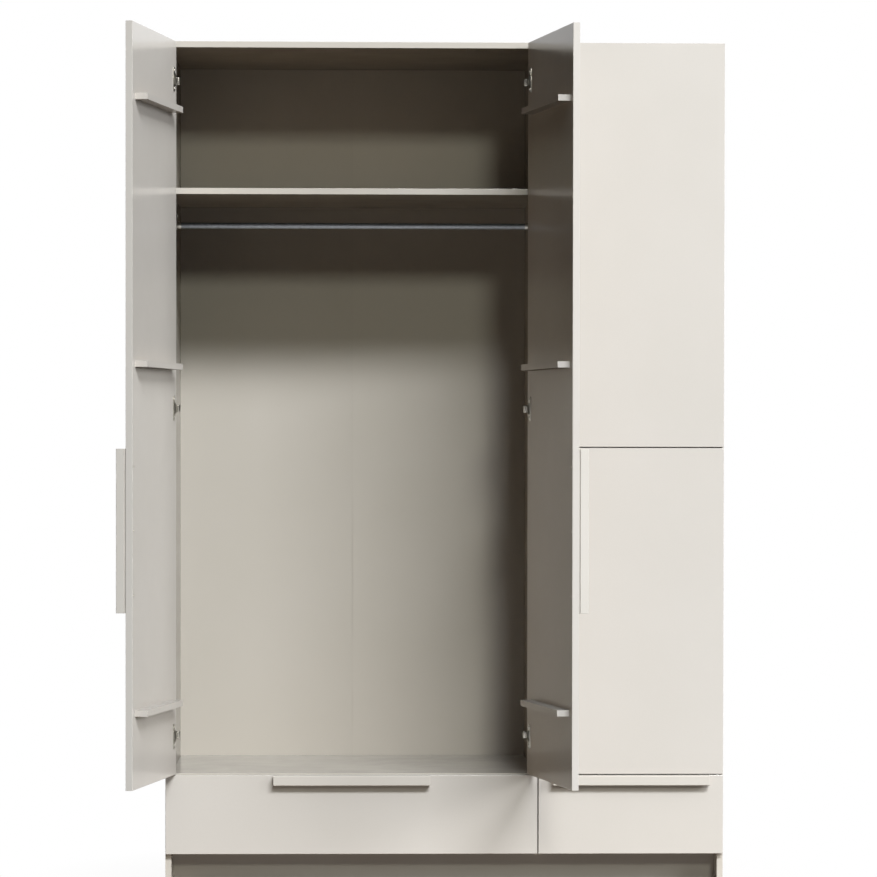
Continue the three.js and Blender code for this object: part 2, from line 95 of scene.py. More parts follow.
LAMP_AIM = Vector((0, 0, 1.2))
LOW_TINT = (1.0, 0.98, 0.82)
RIGHT_TINT = (1.0, 0.985, 0.965)
GLOW_TINT = (1.0, 0.8, 0.6)
GLOW_SIZE = (2.4, 0.48)
GLOW_PLACE = (0, -0.56, 0.01)
SENSOR_WIDTH = 36
CAMERA_REACH = 60

# From (across, up, out of a face) to (in, back, up) on a door or an arm
FACE_TO_LEAF = Matrix(((1, 0, 0, 0), (0, 0, 1, 0), (0, 1, 0, 0), (0, 0, 0, 1)))


# Sizes and colours that a user may change


def length(name, description, default):
    return FloatProperty(name=name, description=description, default=default, unit="LENGTH", precision=5)


def colour(name, description, default):
    return FloatVectorProperty(
        name=name, description=description, default=default, subtype="COLOR", size=3, min=0, max=1
    )


def share(name, description, default):
    return FloatProperty(name=name, description=description, default=default, subtype="FACTOR", min=0, max=1)


def from_hex(text):
    """The linear colour that an sRGB colour such as e2dfd9 stands for."""
    values = [int(text[i : i + 2], 16) / 255 for i in (0, 2, 4)]
    return tuple(v / 12.92 if v <= 0.04045 else ((v + 0.055) / 1.055) ** 2.4 for v in values)


class WardrobeFinish(bpy.types.PropertyGroup):
    board: colour("Board", "Melamine of the carcass and the drawer boxes", from_hex("dedad3"))
    front: colour("Fronts", "Foil of the doors and drawer fronts", from_hex("e2dfdb"))
    handle: colour("Handles", "Paint of the handle laths", from_hex("e4e1dc"))
    sheet: colour("Back sheets", "Lacquered side of the thin sheets", from_hex("dcd8d0"))
    raw_sheet: colour("Raw sheet", "Unpainted side of the thin sheets", from_hex("a68a68"))
    steel: colour("Hinge steel", "Nickel plating of hinges and screws", from_hex("c8c4bc"))
    rail: colour("Rail", "Plating of the hanging rail", from_hex("a9adb3"))
    plastic: colour("Plastic", "Runner strips and the joint strip", from_hex("d6d1c8"))
    board_gloss: share("Board roughness", "Roughness of the melamine", 0.2)
    front_gloss: share("Front roughness", "Roughness of the doors and drawer fronts", 0.2)
    arris: length("Arris", "Rounding of a board's edges", 0.0006)
    grain: length("Grain", "Size of the melamine's pebbled grain", 0.0009)


class WardrobeHinge(bpy.types.PropertyGroup):
    cup_in: length("Cup centre", "Cup centre, in from the hinge edge", 0.0205)
    bore_radius: length("Cup radius", "Inside radius of the drilled cup", 0.0165)
    bowl_depth: length("Cup depth", "Depth of the cup", 0.0122)
    rim_radius: length("Rim radius", "Outside radius of the cup's rim", 0.0194)
    rim_thickness: length("Rim thickness", "How far the rim stands proud", 0.0006)
    notch: length("Rim notch", "Width of the rim's opening for the strap", 0.0118)
    flange_width: length("Flange width", "Width of the cup's flange", 0.0183)
    flange_length: length("Flange length", "Length of the cup's flange", 0.0653)
    flange_corner: length("Flange corner", "Corner radius of the flange", 0.005)
    flange_thickness: length("Flange thickness", "How far the flange stands proud", 0.0016)
    pin_in: length("Pin place", "Cup pin, in from the hinge edge", 0.007)
    pin_depth: length("Pin depth", "Cup pin, before the door's back face", 0.005)
    pin_radius: length("Pin radius", "Radius of the cup's pin", 0.00088)
    pin_length: length("Pin length", "Length of the cup's pin", 0.0188)
    screw_pitch: length("Flange screws", "Between the two flange screws", 0.048)
    screw_radius: length("Screw radius", "Radius of a screw head", 0.0038)
    screw_rise: length("Screw rise", "Height of a screw head", 0.0016)
    arm_pivot_in: length("Arm pivot in", "Rivet in the arm's nose, in from the door's edge", 0.028918)
    arm_pivot_back: length("Arm pivot back", "Rivet, behind the shut door's back face", 0.001086)
    rivet_radius: length("Rivet radius", "Radius of the rivet's heads", 0.0021)
    head_in: length("Head in", "Middle of the arm's broad head, in from the door's edge", 0.0315)
    head_back: length("Head back", "Middle of the head, behind the shut door's back face", 0.0125)
    head_radius: length("Head radius", "Radius of the arm's broad head", 0.0065)
    head_reach: length("Head reach", "Half the length of the head, along the arm's rivet", 0.0098)
    cheek_reach: length("Cheek reach", "Outer face of the arm's cheeks from its middle", 0.0068)
    plate_screw_back: length("Plate screws back", "Plate screws behind the door's back face", 0.037)
    plate_screw_pitch: length("Plate screw pitch", "Between the two plate screws", 0.032)


class WardrobeFittings(bpy.types.PropertyGroup):
    handle_screw_pitch: length("Handle screws", "Between neighbouring handle screws", 0.165)
    handle_screw_radius: length("Handle screw radius", "Radius of a handle screw's head", 0.0036)
    pin_radius: length("Shelf pin", "Radius of a shelf pin", 0.0025)
    pin_reach: length("Shelf pin reach", "How far a shelf pin stands out of its panel", 0.009)
    pin_inset: length("Shelf pin inset", "Shelf pin, in from the shelf's front and back edge", 0.06)
    strip_width: length("Joint strip", "Width of the strip over the joint of the back sheets", 0.018)
    strip_rise: length("Joint strip rise", "How far the joint strip stands proud", 0.0007)
    cam_radius: length("Cam", "Radius of a cam fitting's cap in a drawer side", 0.0075)
    cam_inset: length("Cam inset", "Cam fitting, back from the drawer front", 0.034)
    low_cam: share("Low cam", "Height of the lower cam, as a share of the drawer side's", 0.3)
    high_cam: share("High cam", "Height of the upper cam, as a share of the drawer side's", 0.78)
    rail_radius: length("Rail", "Radius of the hanging rail", 0.008)
    socket_thickness: length("Socket plate", "Thickness of the plate that holds the rail", 0.003)
    collar_wall: length("Collar wall", "Thickness of the collar around the rail's end", 0.0013)
    collar_length: length("Collar length", "How far the collar reaches along the rail", 0.011)
    collar_edge: length("Collar edge", "Rounding of the collar's edges", 0.0004)
    pin_collar: length("Pin collar", "Width and thickness of a shelf pin's collar", 0.0012)
    pin_collar_drop: length("Pin collar drop", "Pin collar's middle, below the pin's own", 0.0013)
    pin_collar_edge: length("Pin collar edge", "Rounding of a pin collar's edges", 0.0003)


class WardrobeStudio(bpy.types.PropertyGroup):
    camera_place: FloatVectorProperty(
        name="Camera",
        description="Where the camera stands",
        default=(-0.2883, -10.3968, 1.2167),
        subtype="TRANSLATION",
        unit="LENGTH",
    )
    camera_turn: FloatVectorProperty(
        name="Camera turn",
        description="Camera's turn to the right, tilt up and roll",
        default=(0.0268, -0.0169, 0.0014),
        subtype="EULER",
        unit="ROTATION",
    )
    focal_pixels: FloatProperty(
        name="Focal length", description="In the photograph's pixels", default=3760.9, subtype="PIXEL"
    )
    axis_row: FloatProperty(
        name="Optical axis", description="Pixel row that the lens looks at", default=510, subtype="PIXEL"
    )
    floor_reach: length("Floor", "How far the floor reaches from the wardrobe", 14)
    floor_colour: colour("Floor colour", "Pale studio floor", from_hex("e6e5e3"))
    floor_return: share("Floor return", "Share of its light that the floor throws back on the wardrobe", 0.0)
    returned: colour("Returned", "Share of light that boards throw back on other pieces", (0.43, 0.33, 0.23))
    key_level: share("Key", "Brightness of white facing the upper lamp", 0.81)
    low_level: share("Low", "Brightness of white facing the low front lamp", 0.1)
    top_level: share("Top", "Brightness of white facing the lamp high above", 0.09)
    right_level: share("Right", "Brightness of white facing the right lamp", 0.31)
    near_level: share("Near", "Brightness of white facing the near lamp on the right", 0.14)
    back_level: share("Back", "Brightness of white facing the lamp behind", 0.6)
    glow_level: share("Glow", "Brightness of the floor just before the wardrobe", 0.3)
    left_level: share("Left", "Brightness of white facing the left lamp", 0.55)
    front_gloss: share("Front glints", "Brightness of the studio in front, in a mirror image", 0.05)
    ambient: share("Ambient", "Strength of the world's light", 0.002)


# Shapes. Each is a closed bmesh made about the origin.


def cylinder(radius, low, high, segments=32, soften=0, steps=2):
    """A round bar along Z, with its two rims rounded."""
    shape = bmesh.new()
    bmesh.ops.create_cone(
        shape,
        cap_ends=True,
        segments=segments,
        radius1=radius,
        radius2=radius,
        depth=high - low,
        matrix=at(0, 0, (low + high) / 2),
    )
    if soften:
        rims = [e for e in shape.edges if abs(e.verts[0].co.z - e.verts[1].co.z) < soften / 10]
        bevel(shape, rims, soften, steps)
    return shape


def bevel(shape, edges, offset, segments=2):
    bmesh.ops.bevel(
        shape, geom=edges, offset=offset, segments=segments, profile=0.5, affect="EDGES", material=-1
    )


def block(low, high, soften=0, segments=2):
    """A block between two corners, with its edges rounded."""
    shape = bmesh.new()
    bmesh.ops.create_cube(shape, size=1)
    low, high = Vector(low), Vector(high)
    bmesh.ops.scale(shape, vec=high - low, verts=shape.verts)
    bmesh.ops.translate(shape, vec=(low + high) / 2, verts=shape.verts)
    if soften:
        bevel(shape, shape.edges[:], soften, segments)
    return shape


def plate(across, along, corner, low, high, soften=0):
    """A flat plate with round corners, its thickness along Z."""
    shape = bmesh.new()
    bmesh.ops.create_cube(shape, size=1)
    bmesh.ops.scale(shape, vec=(across, along, high - low), verts=shape.verts)
    bmesh.ops.translate(shape, vec=(0, 0, (low + high) / 2), verts=shape.verts)
    upright = [e for e in shape.edges if abs(e.verts[0].co.z - e.verts[1].co.z) > (high - low) / 2]
    bevel(shape, upright, corner, 6)
    if soften:
        top = [e for e in shape.edges if all(v.co.z > high - soften / 10 for v in e.verts)]
        bevel(shape, top, soften, 2)
    return shape


def screw(radius, rise):
    """A pan-head screw with a cross recess. Its head stands on z = 0."""
    crown = radius * 0.86
    recess_depth = rise * 0.6
    arm_tip = radius * 0.56
    arm_half = radius * 0.13
    shape = bmesh.new()
    bmesh.ops.create_cone(
        shape,
        cap_ends=True,
        segments=32,
        radius1=radius,
        radius2=crown,
        depth=rise,
        matrix=at(0, 0, rise / 2),
    )
    top = max(shape.faces, key=lambda face: face.calc_center_median().z)
    bmesh.ops.inset_region(shape, faces=[top], thickness=radius * 0.14, depth=rise * 0.12)
    bmesh.ops.inset_region(shape, faces=[top], thickness=radius * 0.1)
    for vert in top.verts:
        turn = math.atan2(vert.co.y, vert.co.x)
        near, far = sorted((abs(math.cos(turn)), abs(math.sin(turn))))
        reach = min(arm_tip / far, arm_half / max(near, arm_half / arm_tip / 2))
        vert.co.x = reach * math.cos(turn)
        vert.co.y = reach * math.sin(turn)
    bmesh.ops.inset_region(shape, faces=[top], thickness=radius * 0.03, depth=-recess_depth)
    return shape


def mesh_of(shape, name="part"):
    """The mesh that a shape stands for. It uses up the shape."""
    mesh = bpy.data.meshes.new(name)
    shape.to_mesh(mesh)
    shape.free()
    return mesh


def new_object(name, data):
    item = bpy.data.objects.new(name, data)
    bpy.context.scene.collection.objects.link(item)
    return item


def combined(operation, first, *others):
    """The first shape joined with the others (UNION), or cut by them (DIFFERENCE)."""
    holders = [new_object("part", mesh_of(shape)) for shape in (first, *others)]
    for other in holders[1:]:
        boolean = holders[0].modifiers.new("part", "BOOLEAN")
        boolean.operation = operation
        boolean.solver = "EXACT"
        boolean.object = other
    depsgraph = bpy.context.evaluated_depsgraph_get()
    result = bmesh.new()
    result.from_mesh(holders[0].evaluated_get(depsgraph).to_mesh())
    for holder in holders:
        mesh = holder.data
        bpy.data.objects.remove(holder)
        bpy.data.meshes.remove(mesh)
    return result


def add_piece(name, body, material, parts):
    """Joins shapes, each with its place, into one piece that rides on a body."""
    whole = bmesh.new()
    for shape, place in parts:
        mesh = mesh_of(shape)
        mesh.transform(place)
        if place.determinant() < 0:
            mesh.flip_normals()
        whole.from_mesh(mesh)
        bpy.data.meshes.remove(mesh)
    for face in whole.faces:
        face.smooth = True
    mesh = mesh_of(whole, name)
    mesh.set_sharp_from_angle(angle=PIECE_CREASE)
    mesh.materials.append(material)
    piece = new_object(name, mesh)
    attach(piece, body)
    return piece


def add_plated(name, body, parts):
    """A small piece of nickel-plated steel."""
    return add_piece(name, body, finish_named("nickel"), parts)


def at(x, y, z):
    return Matrix.Translation((x, y, z))


def quarter_turn(axis, sign=1):
    return Matrix.Rotation(sign * math.pi / 2, 4, axis)


# Where the doors and hinges are


def hung_side(door):
    """1 where a door's hinge edge is its left one, -1 where it is its right one."""
    return 1 if JOINTS[f"door_{door}_hinge"]["axis"][2] < 0 else -1


def shut_leaf(door):
    """From (in from the hinge edge, back from the back face, up) to the frame, with the door shut."""
    pole = Vector(JOINTS[f"door_{door}_hinge"]["pos_m"])
    mirror = Matrix.Diagonal((hung_side(door), 1, 1, 1))
    return at(pole.x, pole.y, 0) @ mirror @ at(-POLE_IN, POLE_FRONT, 0)


def rest_leaf(door):
    """The same, with the door as it stands at rest."""
    joint = JOINTS[f"door_{door}_hinge"]
    pole = Vector(joint["pos_m"])
    opened = -math.radians(joint["range_deg"][0])
    turn = Matrix.Rotation(-hung_side(door) * opened, 4, "Z")
    return at(pole.x, pole.y, 0) @ turn @ at(-pole.x, -pole.y, 0) @ shut_leaf(door)


def hinges_of(door):
    """Each hinge's number and height."""
    count = sum(name.startswith(f"hinge_strap_{door}_") for name in NODES)
    for number in range(1, count + 1):
        low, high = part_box(f"hinge_strap_{door}_{number}")
        yield number, (low.z + high.z) / 2


# Finishes


def new_group(name, inputs, outputs):
    """A node group with inputs of a kind and a default, its outputs being plain numbers."""
    group = bpy.data.node_groups.new(name, "ShaderNodeTree")
    for label, kind, default in inputs:
        socket = group.interface.new_socket(label, in_out="INPUT", socket_type=kind)
        if default is not None:
            socket.default_value = default
    for label in outputs:
        group.interface.new_socket(label, in_out="OUTPUT", socket_type="NodeSocketFloat")
    return group, group.nodes.new("NodeGroupInput"), group.nodes.new("NodeGroupOutput")


def add_node(tree, kind, links=None, **settings):
    """Adds a node. links maps an input's name or number to a value or to another node's output."""
    node = tree.nodes.new(kind)
    for key, value in settings.items():
        setattr(node, key, value)
    for key, value in (links or {}).items():
        if isinstance(value, bpy.types.NodeSocket):
            tree.links.new(value, node.inputs[key])
        else:
            node.inputs[key].default_value = value
    return node


def noise(tree, vector, scale, detail=2.0, roughness=0.5):
    links = {"Vector": vector, "Detail": detail, "Roughness": roughness, "Scale": scale}
    return add_node(tree, "ShaderNodeTexNoise", links).outputs["Fac"]


def math_node(tree, operation, a, b):
    return add_node(tree, "ShaderNodeMath", {0: a, 1: b}, operation=operation).outputs[0]


def mapped(tree, value, low, high, to_low, to_high):
    links = {"Value": value, "From Min": low, "From Max": high, "To Min": to_low, "To Max": to_high}
    return add_node(tree, "ShaderNodeMapRange", links).outputs["Result"]


def stretched(tree, vector, scale):
    return add_node(tree, "ShaderNodeMapping", {"Vector": vector, "Scale": scale}).outputs["Vector"]


def pebbled_group():
    """Fine pebbled grain over a very slight unevenness: a tone, a gloss and a height."""
    group, source, sink = new_group(
        "Pebbled surface",
        [("Vector", "NodeSocketVector", None), ("Grain Scale", "NodeSocketFloat", 1000.0)],
        ["Tone", "Gloss", "Height"],
    )
    vector = source.outputs["Vector"]
    grain = noise(group, vector, scale=source.outputs["Grain Scale"], roughness=0.6)
    wave = noise(group, vector, scale=22.0, roughness=0.45)
    cloud = noise(group, vector, scale=3.2, detail=3.0, roughness=0.55)
    fleck = noise(group, vector, scale=420.0, detail=1.0, roughness=0.4)
    smudge = noise(group, vector, scale=7.5, detail=4.0, roughness=0.62)
    cloudy = mapped(group, cloud, 0.3, 0.7, 0.0, 0.7)
    flecked = mapped(group, fleck, 0.35, 0.7, 0.0, 0.3)
    height = math_node(group, "ADD", grain, math_node(group, "MULTIPLY", wave, 1.4))
    group.links.new(math_node(group, "ADD", cloudy, flecked), sink.inputs["Tone"])
    group.links.new(mapped(group, smudge, 0.35, 0.68, 0.0, 1.0), sink.inputs["Gloss"])
    group.links.new(height, sink.inputs["Height"])
    return group


def fibre_group():
    """Raw fibreboard: tangled fibres, with darker knots among them."""
    group, source, sink = new_group(
        "Raw fibre", [("Vector", "NodeSocketVector", None)], ["Tone", "Height"]
    )
    vector = source.outputs["Vector"]
    bend = noise(group, vector, scale=60.0, detail=3.0, roughness=0.6)
    warped = add_node(
        group,
        "ShaderNodeVectorMath",
        {0: vector, 1: stretched(group, bend, (0.02, 0.02, 0.02))},
        operation="ADD",
    ).outputs[0]
    drawn_out = stretched(group, warped, (260.0, 260.0, 900.0))
    fibres = noise(group, drawn_out, scale=1.0, detail=4.0, roughness=0.7)
    knots = noise(group, vector, scale=45.0, detail=5.0, roughness=0.75)
    group.links.new(math_node(group, "MULTIPLY", fibres, knots), sink.inputs["Tone"])
    group.links.new(fibres, sink.inputs["Height"])
    return group


def drawn_metal_group():
    """Plated metal: faint lines along a direction, and clouds of thinner plating."""
    group, source, sink = new_group(
        "Drawn metal",
        [("Vector", "NodeSocketVector", None), ("Lines", "NodeSocketVector", None)],
        ["Tone", "Gloss", "Height"],
    )
    vector = source.outputs["Vector"]
    scaled = add_node(
        group, "ShaderNodeVectorMath", {0: vector, 1: source.outputs["Lines"]}, operation="MULTIPLY"
    ).outputs[0]
    lines = noise(group, scaled, scale=1.0, detail=3.0, roughness=0.6)
    cloud = noise(group, vector, scale=90.0, detail=3.0, roughness=0.6)
    group.links.new(mapped(group, cloud, 0.35, 0.7, 0.0, 1.0), sink.inputs["Tone"])
    group.links.new(mapped(group, lines, 0.3, 0.7, 0.0, 1.0), sink.inputs["Gloss"])
    group.links.new(lines, sink.inputs["Height"])
    return group


SURFACE_GROUPS = {"pebbled": pebbled_group, "fibre": fibre_group, "drawn": drawn_metal_group}


def surface_group(name):
    """A shared node group, made the first time that it is asked for."""
    known = bpy.data.node_groups.get("surface_" + name)
    if known is None:
        known = SURFACE_GROUPS[name]()
        known.name = "surface_" + name
    return known


def new_material(name):
    material = bpy.data.materials.new(name)
    material.use_nodes = True
    tree = material.node_tree
    tree.nodes.clear()
    output = tree.nodes.new("ShaderNodeOutputMaterial")
    shader = tree.nodes.new("ShaderNodeBsdfPrincipled")
    tree.links.new(shader.outputs["BSDF"], output.inputs["Surface"])
    place = tree.nodes.new("ShaderNodeTexCoord").outputs["Object"]
    return material, tree, shader, place


def use_group(tree, name, links):
    return add_node(tree, "ShaderNodeGroup", links, node_tree=surface_group(name)).outputs


def mixed_colour(tree, factor, first, second, blend="MIX"):
    """Two colours mixed. In a mix of colours the inputs 6 and 7 and the output 2 are the colours'."""
    links = {0: factor, 6: first, 7: second}
    return add_node(tree, "ShaderNodeMix", links, data_type="RGBA", blend_type=blend).outputs[2]


def rgba(colour_value, factor=1.0, blueness=1.0):
    red, green, blue = colour_value
    return (red * factor, green * factor, blue * factor * blueness, 1.0)


def toned(tree, amount, colour_value, light, dark, blueness):
    """A colour that goes from a lighter tone to a darker and slightly warmer one with the amount."""
    return mixed_colour(tree, amount, rgba(colour_value, light), rgba(colour_value, dark, blueness))


def set_roughness(tree, shader, gloss, mean, smudge):
    least, most = smudge
    tree.links.new(mapped(tree, gloss, 0.0, 1.0, mean + least, mean + most), shader.inputs["Roughness"])


def returning(tree, tone):
    """The same colour, but darker and warmer in the light that it throws back on other pieces."""
    thrown = tree.nodes.new("ShaderNodeLightPath").outputs["Is Diffuse Ray"]
    return mixed_colour(tree, thrown, tone, rgba(bpy.context.scene.wardrobe_studio.returned), "MULTIPLY")


def bump(tree, shader, height, distance, strength):
    node = add_node(tree, "ShaderNodeBump", {"Height": height, "Distance": distance, "Strength": strength})
    tree.links.new(node.outputs["Normal"], shader.inputs["Normal"])


def pebbled_material(name, colour_value, roughness, grain, depth, specular=0.5):
    """Melamine, foil or paint on board."""
    material, tree, shader, place = new_material(name)
    surface = use_group(tree, "pebbled", {"Vector": place, "Grain Scale": 1 / grain})
    tone = toned(tree, surface["Tone"], colour_value, light=1.012, dark=0.975, blueness=0.99)
    tree.links.new(returning(tree, tone), shader.inputs["Base Color"])
    set_roughness(tree, shader, surface["Gloss"], roughness, BOARD_SMUDGE)
    bump(tree, shader, surface["Height"], distance=depth, strength=0.35)
    shader.inputs["Specular IOR Level"].default_value = specular
    return material


def sheet_material(name, colour_value, raw_value, raw_side):
    """A thin sheet, lacquered on one side and raw on the other."""
    material, tree, shader, place = new_material(name)
    lacquer_grain = 900.0
    lacquer_roughness = 0.55
    raw_roughness = 0.88
    surface = use_group(tree, "pebbled", {"Vector": place, "Grain Scale": lacquer_grain})
    fibre = use_group(tree, "fibre", {"Vector": place})
    normal = tree.nodes.new("ShaderNodeTexCoord").outputs["Normal"]
    facing = add_node(
        tree, "ShaderNodeVectorMath", {0: normal, 1: raw_side}, operation="DOT_PRODUCT"
    ).outputs["Value"]
    raw = math_node(tree, "GREATER_THAN", facing, 0.5)
    lacquer = toned(tree, surface["Tone"], colour_value, light=1.01, dark=0.97, blueness=0.985)
    fibres = mapped(tree, fibre["Tone"], 0.12, 0.4, 0.0, 1.0)
    board = mixed_colour(tree, fibres, rgba(raw_value, 0.72, 0.9), rgba(raw_value, 1.12))
    tree.links.new(returning(tree, mixed_colour(tree, raw, lacquer, board)), shader.inputs["Base Color"])
    roughness = mapped(tree, raw, 0.0, 1.0, lacquer_roughness, raw_roughness)
    tree.links.new(roughness, shader.inputs["Roughness"])
    fibre_height = math_node(tree, "MULTIPLY", fibre["Height"], raw)
    height = math_node(tree, "ADD", fibre_height, surface["Height"])
    bump(tree, shader, height, distance=0.00012, strength=0.3)
    shader.inputs["Specular IOR Level"].default_value = 0.4
    return material


def metal_material(name, colour_value, roughness, lines):
    """Plated metal. lines is how many drawn lines a metre holds along each axis."""
    material, tree, shader, place = new_material(name)
    surface = use_group(tree, "drawn", {"Vector": place, "Lines": lines})
    tone = toned(tree, surface["Tone"], colour_value, light=1.04, dark=0.86, blueness=0.97)
    tree.links.new(tone, shader.inputs["Base Color"])
    set_roughness(tree, shader, surface["Gloss"], roughness, METAL_SMUDGE)
    bump(tree, shader, surface["Height"], distance=0.00003, strength=0.25)
    shader.inputs["Metallic"].default_value = 1.0
    return material


def finish_named(name):
    """One of the wardrobe's materials, made the first time that it is asked for."""
    known = bpy.data.materials.get(name)
    if known:
        return known
    finish = bpy.context.scene.wardrobe_finish
    if name == "board":
        return pebbled_material(name, finish.board, finish.board_gloss, finish.grain, depth=0.00006)
    if name == "front":
        return pebbled_material(name, finish.front, finish.front_gloss, finish.grain, depth=0.00005)
    if name == "handle_paint":
        return pebbled_material(
            name, finish.handle, roughness=0.36, grain=finish.grain, depth=0.00008, specular=0.3
        )
    if name == "plastic":
        return pebbled_material(
            name, finish.plastic, roughness=0.42, grain=finish.grain * 2, depth=0.00008, specular=0.3
        )
    if name == "back_sheet":
        return sheet_material(name, finish.sheet, finish.raw_sheet, (0, 1, 0))
    if name == "back_sheet_bright":
        brighter = [value * RIGHT_SHEET_LIFT for value in finish.sheet]
        return sheet_material(name, brighter, finish.raw_sheet, (0, 1, 0))
    if name == "drawer_sheet":
        return sheet_material(name, finish.sheet, finish.raw_sheet, (0, 0, -1))
    if name == "nickel":
        return metal_material(name, finish.steel, roughness=0.34, lines=(700.0, 700.0, 700.0))
    if name == "rail_steel":
        return metal_material(name, finish.rail, roughness=0.56, lines=(12.0, 900.0, 900.0))
    raise KeyError(name)


def dress(node, finish, arris=0):
    """Gives a CAD node its finish, and rounds its sharp edges where arris is set."""
    piece = NODES[node]
    piece.data.materials.clear()
    piece.data.materials.append(finish_named(finish))
    if arris:
        weld = piece.modifiers.new("weld", "WELD")
        weld.merge_threshold = arris / 50
        rounding = piece.modifiers.new("arris", "BEVEL")
        rounding.width = arris
        rounding.segments = 2
        rounding.limit_method = "ANGLE"
        rounding.angle_limit = BOARD_CREASE
        rounding.use_clamp_overlap = True


# The pieces


class WARDROBE_OT_carcass(bpy.types.Operator):
    """Boards, shelves and plinth get their melamine and slightly rounded arrises"""

    bl_idname = "wardrobe.carcass"
    bl_label = "Carcass boards"

    def execute(self, context):
        arris = context.scene.wardrobe_finish.arris
        panels = ["side_left", "side_right", "top_panel", "bottom_panel", "divider"]
        shelves = ["floor_left", "floor_right", "hat_shelf", "fixed_shelf", *LOOSE_SHELVES]
        for node in panels + shelves + ["plinth_front", "plinth_brace"]:
            dress(node, "board", arris)
        return {"FINISHED"}


class WARDROBE_OT_back(bpy.types.Operator):
    """Thin back sheets, lacquered inside and raw outside, and the strip over their joint"""

    bl_idname = "wardrobe.back"
    bl_label = "Back sheets and joint strip"

    def execute(self, context):
        fittings = context.scene.wardrobe_fittings
        dress("back_left", "back_sheet")
        dress("back_right", "back_sheet_bright")
        low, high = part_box("back_left")
        half = fittings.strip_width / 2
        rise = fittings.strip_rise
        seam = (high.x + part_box("back_right")[0].x) / 2
        lower = (seam - half, high.y, low.z + rise)
        upper = (seam + half, high.y + rise, high.z - rise)
        strip = block(lower, upper, rise / 3)
        parts = [(strip, Matrix.Identity(4))]
        add_piece("back_joint_strip", "carcass", finish_named("plastic"), parts)
        return {"FINISHED"}


class WARDROBE_OT_doors(bpy.types.Operator):
    """Doors in smooth foil, and the screws that hold their handles from inside"""

    bl_idname = "wardrobe.doors"
    bl_label = "Doors"

    def execute(self, context):
        fittings = context.scene.wardrobe_fittings
        for door in DOORS:
            dress("door_" + door, "front")
            to_leaf = rest_leaf(door).inverted()
            lath = [to_leaf @ vert.co for vert in NODES["handle_" + door].data.vertices]
            across = (min(v.x for v in lath) + max(v.x for v in lath)) / 2
            middle = (min(v.z for v in lath) + max(v.z for v in lath)) / 2
            parts = []
            for step in (-1, 0, 1):
                spot = at(across, 0, middle + step * fittings.handle_screw_pitch)
                head = screw(fittings.handle_screw_radius, fittings.handle_screw_radius / 3)
                parts.append((head, rest_leaf(door) @ spot @ FACE_TO_LEAF))
            add_plated("handle_screws_" + door, "door_" + door, parts)
        return {"FINISHED"}


class WARDROBE_OT_handles(bpy.types.Operator):
    """Painted handle laths with eased edges"""

    bl_idname = "wardrobe.handles"
    bl_label = "Handles"

    def execute(self, context):
        arris = context.scene.wardrobe_finish.arris
        for node in ["handle_" + door for door in DOORS] + [drawer + "_handle" for drawer in DRAWERS]:
            dress(node, "handle_paint", arris)
        return {"FINISHED"}


def cup_shape(hinge):
    """A hinge cup, made about its centre with the door's face at z = 0: its face plate and its bowl."""
    flange = plate(
        hinge.flange_width,
        hinge.flange_length,
        hinge.flange_corner,
        0,
        hinge.flange_thickness,
        hinge.flange_thickness / 3,
    )
    bmesh.ops.translate(flange, vec=(hinge.flange_width / 2, 0, 0), verts=flange.verts)
    rim = cylinder(hinge.rim_radius, 0, hinge.rim_thickness, 64)
    half = hinge.notch / 2
    past_rim = hinge.rim_radius * 1.2
    notch = block((-past_rim, -half, -half), (0, half, half))
    mouth_radius = hinge.bore_radius * 0.985
    mouth = cylinder(mouth_radius, -half, half, 64)
    face = combined("DIFFERENCE", combined("UNION", combined("DIFFERENCE", rim, notch), flange), mouth)

    bowl_radius = hinge.bore_radius * 0.997
    bowl = cylinder(bowl_radius, -hinge.bowl_depth, 0, 64)
    lid = max(bowl.faces, key=lambda side: side.calc_center_median().z)
    wall = hinge.rim_thickness / 5
    bmesh.ops.inset_region(bowl, faces=[lid], thickness=wall)
    bmesh.ops.inset_region(bowl, faces=[lid], thickness=wall / 10, depth=wall - hinge.bowl_depth)
    return face, bowl


class WARDROBE_OT_hinge_cups(bpy.types.Operator):
    """Plated cups with their flanges, pins and screws, let into the doors"""

    bl_idname = "wardrobe.hinge_cups"
    bl_label = "Hinge cups"

    def execute(self, context):
        hinge = context.scene.wardrobe_hinge
        for door in DOORS:
            for number, height in hinges_of(door):
                place = rest_leaf(door) @ at(hinge.cup_in, 0, height) @ FACE_TO_LEAF
                parts = [(shape, place) for shape in cup_shape(hinge)]
                pin = cylinder(hinge.pin_radius, -hinge.pin_length / 2, hinge.pin_length / 2, 24)
                parts.append((pin, rest_leaf(door) @ at(hinge.pin_in, -hinge.pin_depth, height)))
                for side in (-1, 1):
                    spot = at(hinge.flange_width / 2, side * hinge.screw_pitch / 2, hinge.flange_thickness)
                    parts.append((screw(hinge.screw_radius, hinge.screw_rise), place @ spot))
                add_plated(f"hinge_cup_{door}_{number}", "door_" + door, parts)
        return {"FINISHED"}


